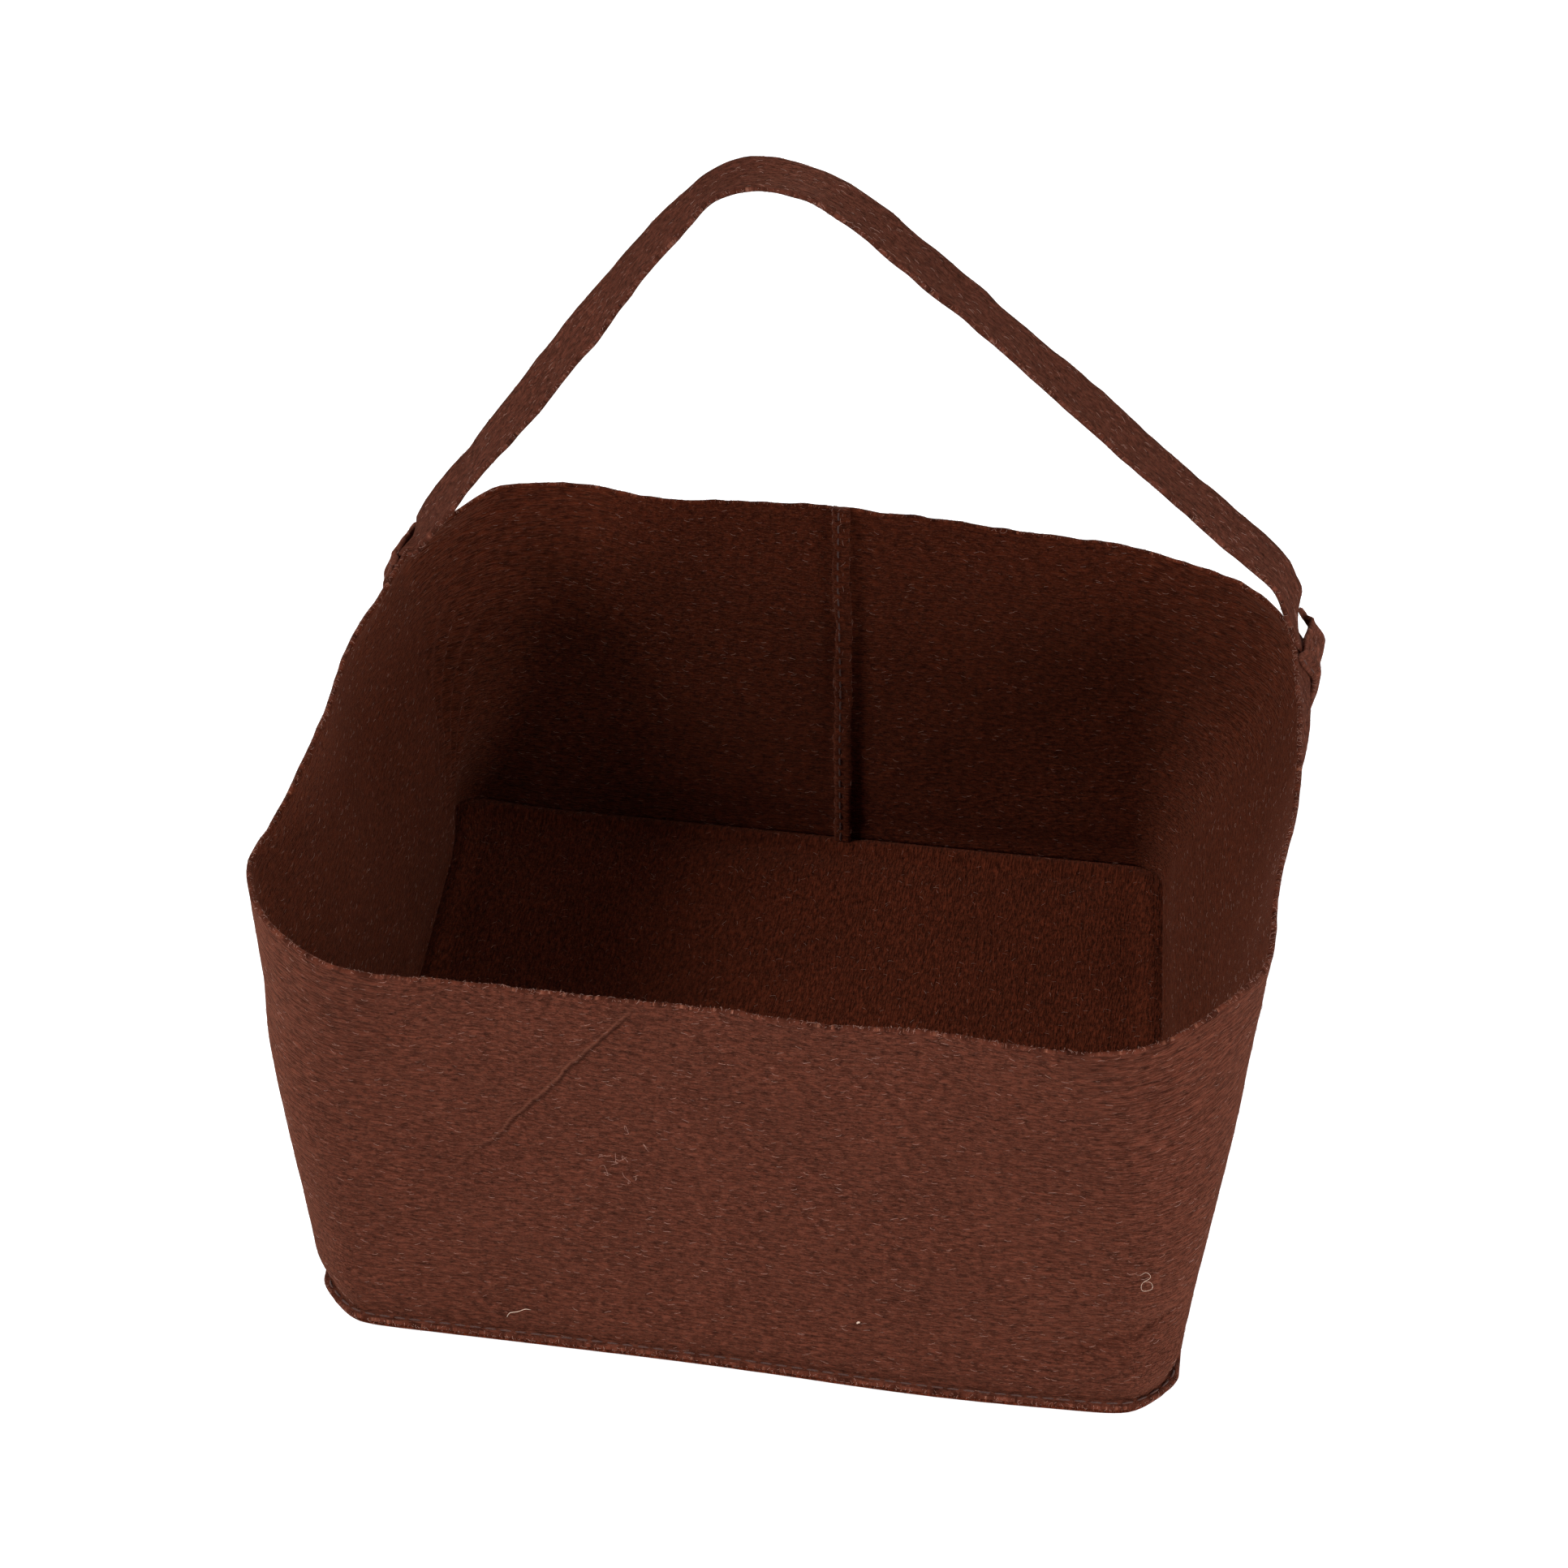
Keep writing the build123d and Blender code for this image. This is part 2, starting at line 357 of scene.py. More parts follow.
class Nodes(Tree):
    """Short words for building a material's nodes."""

    def __init__(self, name):
        self.material = bpy.data.materials.new(name)
        self.material.use_nodes = True
        self.tree = self.material.node_tree
        self.tree.nodes.clear()

    def mix(self, factor, a, b):
        node = self.add("ShaderNodeMix", {"data_type": "RGBA"})
        for index, value in ((0, factor), (6, a), (7, b)):
            if isinstance(value, bpy.types.NodeSocket):
                self.tree.links.new(value, node.inputs[index])
            else:
                node.inputs[index].default_value = value
        return node.outputs[2]

    def steps(self, value, low, high):
        node = self.add("ShaderNodeMapRange", {"interpolation_type": "SMOOTHSTEP"}, Value=value)
        node.inputs["From Min"].default_value = low
        node.inputs["From Max"].default_value = high
        return node.outputs[0]

    def noise(self, vector, scale, detail=2.0, roughness=0.5, distortion=0.0):
        return self.add("ShaderNodeTexNoise", None, Vector=vector, Scale=scale, Detail=detail,
                        Roughness=roughness, Distortion=distortion).outputs["Fac"]


def felt_material(name, colour, light, dark, along=1.0, inner=(1, 1, 1), creases=()):
    """Needled felt: matted fibres that lie mostly along the strip, with lighter ones among them.

    inner is painted shade on the side that faces into the bag: that side's colour is multiplied by it. Each
    crease is (start, end, width, strength), on the strip, a bump with painted shade along its line and a
    painted highlight on the ridge beside it.
    """
    n = Nodes(name)
    uv = n.add("ShaderNodeUVMap", {"uv_map": "strip"}).outputs["UV"]

    def combed(turn, length, width, low, high, shift):
        laid = n.add("ShaderNodeMapping", None, Vector=uv)
        laid.inputs["Location"].default_value = (shift, shift * 0.7, 0)
        laid.inputs["Rotation"].default_value = (0, 0, math.radians(turn))
        laid.inputs["Scale"].default_value = (1 / length, 1 / width, 1)
        return n.steps(n.noise(laid.outputs[0], 1.0, 2.0, 0.55, 0.35), low, high)

    bright = n.math("MAXIMUM", combed(4, 0.0034, 0.00042, 0.60, 0.74, 0.0),
                    n.math("MAXIMUM", combed(-19, 0.0028, 0.00040, 0.62, 0.76, 3.1),
                           combed(27, 0.0026, 0.00038, 0.63, 0.77, 7.7)))
    matted = combed(-3, 0.0060, 0.0011, 0.30, 0.70, 5.3)
    crossing = combed(70, 0.0045, 0.0010, 0.35, 0.72, 9.1)
    cloud = n.noise(uv, 22.0, 4.0, 0.62)
    grit = n.noise(uv, 900.0, 2.0, 0.6)
    pits = n.steps(n.noise(uv, 420.0, 2.0, 0.6), 0.34, 0.52)

    mottle = combed(8, 0.0052, 0.0027, 0.30, 0.70, 2.2)
    body = n.mix(n.math("MULTIPLY_ADD", matted, 0.85, 0.15), dark, colour)
    body = n.mix(n.math("MULTIPLY", crossing, 0.22), body, colour)
    shade = n.math("MULTIPLY_ADD", cloud, 0.55, 0.70)
    shade = n.math("MULTIPLY", shade, n.math("MULTIPLY_ADD", pits, 0.50, 0.66))
    shade = n.math("MULTIPLY", shade, n.math("MULTIPLY_ADD", mottle, 0.60, 0.76))
    body = n.add("ShaderNodeVectorMath", {"operation": "SCALE"}, i0=body, Scale=shade).outputs[0]
    body = n.mix(n.math("MULTIPLY", bright, 0.66 * along), body, light)
    # Painted shade: the side facing into the bag (the inside attribute) is multiplied by inner, so it comes
    # out darker and redder than the outside.
    painted_inside_shade = n.add("ShaderNodeMix", {"data_type": "RGBA", "blend_type": "MULTIPLY"})
    inside = n.add("ShaderNodeAttribute", {"attribute_name": "inside"})
    n.tree.links.new(inside.outputs["Fac"], painted_inside_shade.inputs[0])
    n.tree.links.new(body, painted_inside_shade.inputs[6])
    painted_inside_shade.inputs[7].default_value = (*inner, 1)
    body = painted_inside_shade.outputs[2]

    height = n.math("ADD", n.math("MULTIPLY", matted, 0.8), n.math("MULTIPLY", crossing, 0.35))
    height = n.math("ADD", height, n.math("MULTIPLY", grit, 0.7))
    height = n.math("ADD", height, n.math("MULTIPLY", bright, 0.5))
    height = n.math("ADD", height, n.math("MULTIPLY", mottle, 0.6))
    for start, end, width, strength in creases:
        run = math.dist(start, end)
        laid = n.add("ShaderNodeMapping", {"vector_type": "TEXTURE"}, Vector=uv)
        laid.inputs["Location"].default_value = (*start, 0)
        laid.inputs["Rotation"].default_value = (0, 0, math.atan2(end[1] - start[1], end[0] - start[0]))
        place = n.add("ShaderNodeSeparateXYZ", None, Vector=laid.outputs[0]).outputs
        sway = n.math("MULTIPLY", n.math("SUBTRACT", n.noise(uv, 45.0), 0.5), 0.006)
        away = n.math("ADD", place[1], sway)
        ends = n.math("MULTIPLY", n.steps(place[0], -0.004, 0.010),
                      n.math("SUBTRACT", 1.0, n.steps(place[0], run * 0.55, run)))
        line = n.math("SUBTRACT", 1.0, n.steps(n.math("ABSOLUTE", away), 0.0, width))
        ridge_bump_and_highlight = n.math("SUBTRACT", 1.0, n.steps(n.math("ABSOLUTE", n.math("SUBTRACT", away, width * 1.5)),
                                                0.0, width))
        line = n.math("MULTIPLY", n.math("MULTIPLY", line, ends), strength)
        ridge_bump_and_highlight = n.math("MULTIPLY", n.math("MULTIPLY", ridge_bump_and_highlight, ends), strength * 0.35)
        # Painted shade along the crease line and a painted highlight on the ridge beside it; both also shape
        # the bump.
        body = n.mix(n.math("MULTIPLY", line, 0.65), body, dark)
        body = n.mix(n.math("MULTIPLY", ridge_bump_and_highlight, 0.35), body, light)
        height = n.math("ADD", height, n.math("SUBTRACT", ridge_bump_and_highlight, n.math("MULTIPLY", line, 1.8)))
    bump = n.add("ShaderNodeBump", None, Strength=0.85, Distance=0.0007, Height=height).outputs[0]
    shader = n.add("ShaderNodeBsdfPrincipled", None, Base_Color=body, Normal=bump)
    shader.inputs["Roughness"].default_value = 0.96
    shader.inputs["Specular IOR Level"].default_value = 0.05
    shader.inputs["Sheen Weight"].default_value = 0.20
    shader.inputs["Sheen Roughness"].default_value = 0.40
    shader.inputs["Sheen Tint"].default_value = (0.85, 0.32, 0.20, 1)
    n.add("ShaderNodeOutputMaterial", None, Surface=shader.outputs[0])
    return n.material


def thread_material(name, colour, light):
    """Spun thread: twisted bands along a thin round yarn."""
    n = Nodes(name)
    place = n.add("ShaderNodeTexCoord").outputs["Object"]
    twist = n.noise(place, 1600.0, 2.0, 0.6, 0.4)
    body = n.mix(n.steps(twist, 0.35, 0.7), colour, light)
    bump = n.add("ShaderNodeBump", None, Strength=0.6, Distance=0.0002, Height=twist).outputs[0]
    shader = n.add("ShaderNodeBsdfPrincipled", None, Base_Color=body, Normal=bump)
    shader.inputs["Roughness"].default_value = 0.85
    shader.inputs["Sheen Weight"].default_value = 0.2
    n.add("ShaderNodeOutputMaterial", None, Surface=shader.outputs[0])
    return n.material


# Painted shade in the base's colours: they are the wall felt's made redder and deeper, as in the shade inside
# the bag.
base_felt = felt_material("base_felt", colour=(0.124, 0.025, 0.0105, 1), light=(0.360, 0.105, 0.052, 1),
                          dark=(0.036, 0.007, 0.003, 1), along=0.8)
strap_felt = felt_material("strap_felt", colour=(0.108, 0.031, 0.019, 1), light=(0.330, 0.130, 0.084, 1),
                           dark=(0.038, 0.010, 0.005, 1), along=0.9)
patch_felt = felt_material("patch_felt", colour=(0.140, 0.042, 0.026, 1), light=(0.380, 0.150, 0.100, 1),
                           dark=(0.052, 0.015, 0.008, 1))
seam_thread = thread_material("seam_thread", (0.045, 0.014, 0.009, 1), (0.110, 0.038, 0.024, 1))
lint = thread_material("lint", (0.300, 0.125, 0.085, 1), (0.520, 0.270, 0.200, 1))
pale_lint = thread_material("pale_lint", (0.700, 0.480, 0.360, 1), (0.900, 0.700, 0.560, 1))


# ---------------------------------------------------------------- geometry nodes

class Growth(Tree):
    """Short words for building a Geometry Nodes tree."""

    def __init__(self, name, inputs):
        self.tree = bpy.data.node_groups.new(name, "GeometryNodeTree")
        face = self.tree.interface
        face.new_socket("Geometry", in_out="INPUT", socket_type="NodeSocketGeometry")
        self.ids = {}
        for label, kind in inputs:
            self.ids[label] = face.new_socket(label, in_out="INPUT", socket_type=kind).identifier
        face.new_socket("Geometry", in_out="OUTPUT", socket_type="NodeSocketGeometry")
        self.given = self.tree.nodes.new("NodeGroupInput").outputs

    def chance(self, low, high, seed):
        node = self.tree.nodes.new("FunctionNodeRandomValue")
        node.data_type = "FLOAT"
        node.inputs[2].default_value = low
        node.inputs[3].default_value = high
        node.inputs["Seed"].default_value = seed
        return node.outputs[1]

    def finish(self, instances, material):
        real = self.add("GeometryNodeRealizeInstances", None, Geometry=instances).outputs[0]
        real = self.add("GeometryNodeSetShadeSmooth", None, i0=real).outputs[0]
        done = self.add("GeometryNodeSetMaterial", None, Geometry=real, Material=material).outputs[0]
        out = self.tree.nodes.new("NodeGroupOutput")
        self.tree.links.new(done, out.inputs[0])


def bent_strand(g, bend, sides, parts):
    """One strand along X, one unit long, bent upwards in the middle."""
    line = g.add("GeometryNodeCurveQuadraticBezier", None, Resolution=parts)
    line.inputs["Start"].default_value = (-0.5, 0.0, -bend / 2)
    line.inputs["Middle"].default_value = (0.0, bend * 0.4, bend * 1.5)
    line.inputs["End"].default_value = (0.5, 0.0, -bend / 2)
    return line.outputs[0], g.add("GeometryNodeCurvePrimitiveCircle", {"mode": "RADIUS"}, Resolution=sides)


def fibre_tree():
    """Fibres scattered on a felt surface, along its grain."""
    g = Growth("felt_fibres", [("Density", "NodeSocketFloat"), ("Length", "NodeSocketFloat"),
                               ("Thickness", "NodeSocketFloat"), ("Spread", "NodeSocketFloat"),
                               ("Lift", "NodeSocketFloat"), ("Where", "NodeSocketString"),
                               ("Seed", "NodeSocketInt"), ("Material", "NodeSocketMaterial")])
    given = g.given
    weight = g.add("GeometryNodeInputNamedAttribute", {"data_type": "FLOAT"}, Name=given["Where"]).outputs[0]
    density = g.math("MULTIPLY", given["Density"], weight)
    spots = g.add("GeometryNodeDistributePointsOnFaces", None, Mesh=given["Geometry"],
                  Density=density, Seed=given["Seed"])
    grain = g.add("GeometryNodeInputNamedAttribute", {"data_type": "FLOAT_VECTOR"}, Name="grain").outputs[0]
    stand = g.add("FunctionNodeAlignRotationToVector", {"axis": "Z"},
                  Vector=spots.outputs["Normal"]).outputs[0]
    laid = g.add("FunctionNodeAlignRotationToVector", {"axis": "X", "pivot_axis": "Z"},
                 Rotation=stand, Vector=grain).outputs[0]
    yaw = g.math("MULTIPLY", g.chance(-1.0, 1.0, 3), given["Spread"])
    roll = g.chance(-1.2, 1.2, 4)
    tilt = g.math("MULTIPLY", g.chance(-1.0, 1.0, 5), given["Lift"])
    turn = g.add("ShaderNodeCombineXYZ", None, X=roll, Y=tilt, Z=yaw).outputs[0]
    turn = g.add("FunctionNodeEulerToRotation", None, i0=turn).outputs[0]
    laid = g.add("FunctionNodeRotateRotation", {"rotation_space": "LOCAL"},
                 Rotation=laid, Rotate_By=turn).outputs[0]
    line, circle = bent_strand(g, 0.16, 3, 3)
    slim = g.math("DIVIDE", given["Thickness"], given["Length"])
    g.tree.links.new(slim, circle.inputs["Radius"])
    strand = g.add("GeometryNodeCurveToMesh", None, Curve=line, Profile_Curve=circle.outputs[0]).outputs[0]
    size = g.math("MULTIPLY", given["Length"], g.chance(0.35, 1.5, 6))
    placed = g.add("GeometryNodeInstanceOnPoints", None, Points=spots.outputs["Points"], Instance=strand,
                   Rotation=laid, Scale=size).outputs[0]
    g.finish(placed, given["Material"])
    return g


def stitch_tree():
    """A row of stitches along a line, each a short thread that dips into the felt at both ends."""
    g = Growth("stitch_row", [("Pitch", "NodeSocketFloat"), ("Length", "NodeSocketFloat"),
                              ("Thickness", "NodeSocketFloat"), ("Material", "NodeSocketMaterial")])
    given = g.given
    line = g.add("GeometryNodeMeshToCurve", None, Mesh=given["Geometry"]).outputs[0]
    spots = g.add("GeometryNodeResampleCurve", {"mode": "LENGTH"}, Curve=line, Length=given["Pitch"])
    tangent = g.tree.nodes.new("GeometryNodeInputTangent").outputs[0]
    out = g.add("GeometryNodeInputNamedAttribute", {"data_type": "FLOAT_VECTOR"}, Name="grain").outputs[0]
    laid = g.add("FunctionNodeAlignRotationToVector", {"axis": "X"}, Vector=tangent).outputs[0]
    laid = g.add("FunctionNodeAlignRotationToVector", {"axis": "Z", "pivot_axis": "X"},
                 Rotation=laid, Vector=out).outputs[0]
    thread, circle = bent_strand(g, 0.14, 6, 6)
    slim = g.math("DIVIDE", given["Thickness"], given["Length"])
    g.tree.links.new(slim, circle.inputs["Radius"])
    strand = g.add("GeometryNodeCurveToMesh", {}, Curve=thread, Profile_Curve=circle.outputs[0])
    strand.inputs["Fill Caps"].default_value = True
    placed = g.add("GeometryNodeInstanceOnPoints", None, Points=spots.outputs[0], Instance=strand.outputs[0],
                   Rotation=laid, Scale=given["Length"]).outputs[0]
    g.finish(placed, given["Material"])
    return g


def grown(name, host_mesh, growth, values):
    """Runs a tree on a mesh and keeps the result as a plain piece."""
    carrier = bpy.data.objects.new(name + "_carrier", host_mesh)
    bpy.context.scene.collection.objects.link(carrier)
    modifier = carrier.modifiers.new(name, "NODES")
    modifier.node_group = growth.tree
    for label, value in values.items():
        modifier[growth.ids[label]] = value
    shown = carrier.evaluated_get(bpy.context.evaluated_depsgraph_get())
    mesh = bpy.data.meshes.new_from_object(shown)
    mesh.name = name
    bpy.data.objects.remove(carrier)
    obj = bpy.data.objects.new(name, mesh)
    bpy.context.scene.collection.objects.link(obj)
    return obj


fibres = fibre_tree()
stitching = stitch_tree()


LINT_THICKNESS = 0.00007


def lint_on(piece, name, density, seed, length=0.0032, spread=0.5, lift=0.10, where="all"):
    """Fibres on one piece: so many to the square metre, weighed by the attribute where."""
    host = piece.data
    if "all" not in host.attributes:
        host.attributes.new("all", "FLOAT", "POINT").data.foreach_set("value", [1.0] * len(host.vertices))
    return grown(name, host, fibres, {"Density": float(density), "Length": length,
                                      "Thickness": LINT_THICKNESS, "Spread": spread, "Lift": lift,
                                      "Where": where, "Seed": seed, "Material": lint})


def stitch_row(name, points, outs, closed=False):
    """Stitches along settled points, each lying on the felt that faces outs."""
    mesh = bpy.data.meshes.new(name + "_line")
    count = len(points)
    edges = [(i, i + 1) for i in range(count - 1)] + ([(count - 1, 0)] if closed else [])
    mesh.from_pydata(points.tolist(), edges, [])
    mesh.attributes.new("grain", "FLOAT_VECTOR", "POINT").data.foreach_set(
        "vector", outs.astype(np.float32).ravel())
    return grown(name, mesh, stitching, {"Pitch": STITCH_PITCH, "Length": STITCH_LENGTH,
                                         "Thickness": THREAD / 2, "Material": seam_thread})


# ---------------------------------------------------------------- wall strip and base

foot_profile = [
    (WELT - 0.0010, 0.0037), (0.0040, 0.0038), (0.0026, 0.0037), (0.0012, 0.0037), (0.0002, 0.0041),
    (-0.0006, 0.0050), (-0.0011, 0.0064), (-0.00125, 0.0084)]
wall_rows = [(-FELT / 2, z) for z in np.linspace(0.0112, RIM_HEIGHT - 0.0011, 60)]
sleeve = []
for offset, z in foot_profile + wall_rows:
    line = ring(z, offset)
    sleeve.append(np.column_stack([line, np.full(len(line), z)]))
sleeve = np.array(sleeve)
MIDDLE_ROW = 34                              # near mid height: the strip's length is measured along it
SIDE_COLUMN = 100                            # up the right side: the strip's height is measured along it
strip_u = measured(sleeve[MIDDLE_ROW])
strip_v = measured(sleeve[:, SIDE_COLUMN])
strip_length, strip_height = strip_u[-1], strip_v[-1]

# The two ends of the strip turn in at the seam
from_end = np.minimum(strip_u, strip_length - strip_u)
turned = 0.0016 * np.clip(1 - from_end / 0.0040, 0, 1) ** 2
sleeve[:, :, 1] -= turned[None, :]


def front_uv(x, z):
    """A place on the front wall, given along and in height, as a place on the strip."""
    line = sleeve[np.argmin(np.abs(sleeve[:, SIDE_COLUMN, 2] - z))]
    near = np.where(line[:, 1] < -0.15)[0]
    near = near[np.argsort(line[near, 0])]
    return (float(np.interp(x, line[near, 0], strip_u[near])),
            float(np.interp(z, sleeve[len(foot_profile):, SIDE_COLUMN, 2], strip_v[len(foot_profile):])))


# Creases on the front wall, each drawn with painted shade along it, a painted highlight beside it, and a
# bump.
wall_creases = [
    (front_uv(-0.036, 0.2165), front_uv(-0.150, 0.080), 0.0013, 1.0),
    (front_uv(-0.041, 0.2100), front_uv(-0.133, 0.100), 0.0012, 0.8),
    (front_uv(0.060, 0.205), front_uv(0.120, 0.110), 0.0024, 0.35),
    (front_uv(0.205, 0.062), front_uv(0.120, 0.020), 0.0028, 0.5)]
# The wall's inside face gets painted shade: inner darkens and reddens it.
wall_felt = felt_material("wall_felt", colour=(0.112, 0.031, 0.018, 1), light=(0.370, 0.140, 0.088, 1),
                          dark=(0.034, 0.008, 0.004, 1), inner=(0.86, 0.64, 0.46), creases=wall_creases)

shape = sleeve.shape
wall_mid = settle(sleeve.reshape(-1, 3)).reshape(shape)
wall_uv = np.stack(np.meshgrid(strip_u, strip_v), 2)
wall = felt_sheet("wall_felt_strip", wall_mid, wall_uv, wall_felt)


def base_point(a, b, z):
    """A point of the square base, from -1 to 1 each way, with its corners rounded off."""
    half = FOOT_HALF + WELT - FELT * EDGE_SHARE
    corner = FOOT_CORNER + WELT
    reach = np.maximum(np.abs(a), np.abs(b))
    angle = np.arctan2(b, a)
    square = 1 / np.maximum(np.abs(np.cos(angle)), np.abs(np.sin(angle)))
    side = 1 - corner / half
    c, s = np.abs(np.cos(angle)), np.abs(np.sin(angle))
    middle = side * (c + s)
    rounded = middle + np.sqrt(np.maximum(middle ** 2 - 2 * side ** 2 + (corner / half) ** 2, 0))
    in_corner = np.minimum(c, s) * square > side
    share = np.where(in_corner, rounded / square, 1.0)
    scale = 1 - (1 - share) * reach ** 6
    x, y = a * half * scale, b * half * scale
    x = x - FOOT_SLIP / 2 - FOOT_SLIP * y / (2 * FOOT_HALF)
    return np.stack([x, y, z], -1)


across = np.linspace(-1, 1, 121)
a, b = np.meshgrid(across, across)
middle_of_base = 1 - smooth(0.80, 0.93, np.maximum(np.abs(a), np.abs(b)))
base_flat = base_point(a, b, np.full_like(a, FELT / 2))
swell = (lumps(base_flat.reshape(-1, 3), 0.045, 21) + 1.6).reshape(a.shape)
base_flat[:, :, 2] += 0.0009 * middle_of_base * swell
base_flat[:, :, 2] += 0.0030 * hump(np.maximum(np.abs(a), np.abs(b)), 0.942, 0.024)
base_mid = settle(base_flat.reshape(-1, 3)).reshape(base_flat.shape)
base_uv = base_flat[:, :, [1, 0]]
base = felt_sheet("base_felt_square", base_mid, base_uv, base_felt)


# ---------------------------------------------------------------- back seam

def seam_x(z):
    return SEAM_FOOT_X + (SEAM_RIM_X - SEAM_FOOT_X) * z / RIM_HEIGHT


def back_inner_y(z):
    return FOOT_HALF + (RIM_HALF_DEPTH - FOOT_HALF) * z / RIM_HEIGHT - FELT


# The strip's ends turned in and folded over each other: right of the seam, and into the bag
fold_profile = np.array([
    (-3.2, -0.6), (-3.2, 0.6), (-3.1, 2.0), (-2.5, 3.6), (-1.3, 4.7), (0.2, 5.2), (1.6, 5.0), (3.0, 5.3),
    (4.8, 5.4), (6.1, 5.2), (6.7, 4.4), (6.6, 3.5), (6.0, 3.0), (5.3, 2.85), (5.3, 2.65), (6.0, 2.5),
    (6.3, 1.7), (6.1, 0.7), (5.5, 0.2), (4.4, -0.1), (3.0, -0.6), (0.0, -0.6)]) / 1000
fold_z = np.linspace(FELT + 0.0015, RIM_HEIGHT + 0.0008, 150)
rings = []
for z in fold_z:
    beat = 0.5 + 0.5 * math.cos(2 * math.pi * z / STITCH_PITCH)
    u, w = fold_profile[:, 0].copy(), fold_profile[:, 1].copy()
    top = smooth(0.002, 0.0045, w)
    w -= 0.0009 * beat * top * np.exp(-((u - 0.0006) / 0.0016) ** 2)
    u -= 0.0005 * (beat - 0.5) * (1 - smooth(-0.003, 0.0, u))
    rings.append(np.column_stack([seam_x(z) + u, back_inner_y(z) - w, np.full(len(u), z)]))
rings = np.array(rings)
sway = rings.reshape(-1, 3).copy()
slow = sway.copy()
slow[:, :2] = 0
sway[:, 0] += 0.0006 * lumps(slow, 0.022, 31) + 0.0004 * lumps(sway, 0.005, 32)
sway[:, 1] += 0.0004 * lumps(sway, 0.006, 33)
fold_points = settle(sway)
count, around = rings.shape[:2]
index = np.arange(count * around).reshape(count, around)
nxt = np.roll(index, -1, axis=1)
fold_faces = np.stack([index[:-1], nxt[:-1], nxt[1:], index[1:]], 2).reshape(-1, 4)
girth = measured(fold_profile)
fold_uv = np.stack(np.meshgrid(girth, fold_z), 2).reshape(-1, 2)
fold_grain = np.tile((0.2, 0.1, 1.0), (count * around, 1))
fold_fuzz = (np.arange(count * around) // around >= count - 2).astype(float)    # at the cut top only
# All of the fold lies inside the bag, so all of it gets the painted inside shade (inside is 1).
fold = felt_mesh("back_seam_fold", fold_points, fold_faces, fold_uv, fold_grain, fold_fuzz,
                 np.ones(count * around), wall_felt, caps=[index[0][::-1], index[-1]])


# ---------------------------------------------------------------- patches and strap

SIDE_NAME = {-1: "left", 1: "right"}
SIDE_SHIFT = {-1: -0.0055, 1: 0.0085}     # so that the sewn ends meet the strap once the bag has settled
FAR_LINE = 0.006                          # a line round the bag, outside the wall, to measure offsets by
EAR_LIFT = {-1: 0.0045, 1: 0.0095}        # how far each patch's top back corner stands off


def off_side(side, y, z, offset):
    """A point beside the wall of one side, this far outside it, before the bag settles."""
    y = y + SIDE_SHIFT[side]
    near = np.array([side_x(side, yy, zz, 0.0) for yy, zz in zip(y, z)])
    far = np.array([side_x(side, yy, zz, FAR_LINE) for yy, zz in zip(y, z)])
    return np.column_stack([near + (far - near) * offset / FAR_LINE, y, z])


def patch_piece(side):
    """A patch that rises over the strap's end and lies on the wall round it."""
    edge = FELT * EDGE_SHARE
    y, z = np.meshgrid(np.linspace(PATCH_FRONT + edge, PATCH_BACK - edge, 45),
                       np.linspace(PATCH_LOW + edge, RIM_HEIGHT - edge * 0.5, 72))
    over = 1 - smooth(STRAP_WIDTH / 2 + 0.0004, STRAP_WIDTH / 2 + 0.0042, np.abs(y - STRAP_Y))
    over = over * smooth(STRAP_LOW - 0.0040, STRAP_LOW - 0.0004, z)
    ear = smooth(0.150, 0.216, z) * smooth(0.124, 0.157, y)
    offset = PLY_GAP + FELT / 2 + (FELT + PLY_GAP) * over + EAR_LIFT[side] * ear
    offset = offset + 0.0003 * lumps(np.stack([y * 0, y, z], 2).reshape(-1, 3), 0.012, 41).reshape(y.shape)
    placed = off_side(side, y.ravel(), z.ravel(), np.maximum(offset, PLY_GAP + FELT / 2).ravel())
    mid = settle(placed).reshape(y.shape + (3,))
    if side < 0:
        mid, y, z = mid[:, ::-1], y[:, ::-1], z[:, ::-1]
    return felt_sheet("patch_felt_" + SIDE_NAME[side], mid, np.stack([y, z], 2), patch_felt)


patches = {side: patch_piece(side) for side in (-1, 1)}

# The strap's line over the bag: along x and height in mm, and how far its front edge hangs lower, in degrees
strap_line = np.array([
    (-228, 227, 12), (-220, 240, 19), (-211, 253, 19), (-198, 271, 16), (-185, 288, 20), (-147, 340, 23),
    (-112, 390, 22), (-89, 419, 18), (-64, 445, 10), (-35, 452, 6), (-4, 442, 5), (35, 412, 7), (88, 366, 9),
    (143, 318, 10), (199, 270, 9), (213, 258, 9), (219, 252, 9), (224, 242, 9), (229, 230, 9)], dtype=float)


def flow(points, count):
    """A smooth line through points, evenly spaced."""
    p = np.asarray(points, dtype=float)
    p = np.concatenate([2 * p[:1] - p[1:2], p, 2 * p[-1:] - p[-2:-1]])
    found = []
    for i in range(1, len(p) - 2):
        t = np.linspace(0, 1, 24, endpoint=False).reshape((-1,) + (1,) * (p.ndim - 1))
        a, b, c, d = p[i - 1], p[i], p[i + 1], p[i + 2]
        found.append(0.5 * (2 * b + (c - a) * t + (2 * a - 5 * b + 4 * c - d) * t ** 2
                            + (3 * b - a - 3 * c + d) * t ** 3))
    found.append(p[-2][None])
    fine = np.concatenate(found)
    lead = fine.reshape(len(fine), -1)[:, :3] if p.ndim == 2 else fine[:, p.shape[1] // 2]
    way = measured(lead)
    even = np.linspace(0, way[-1], count)
    flat = fine.reshape(len(fine), -1)
    return np.stack([np.interp(even, way, col) for col in flat.T], 1).reshape((count,) + p.shape[1:]), even


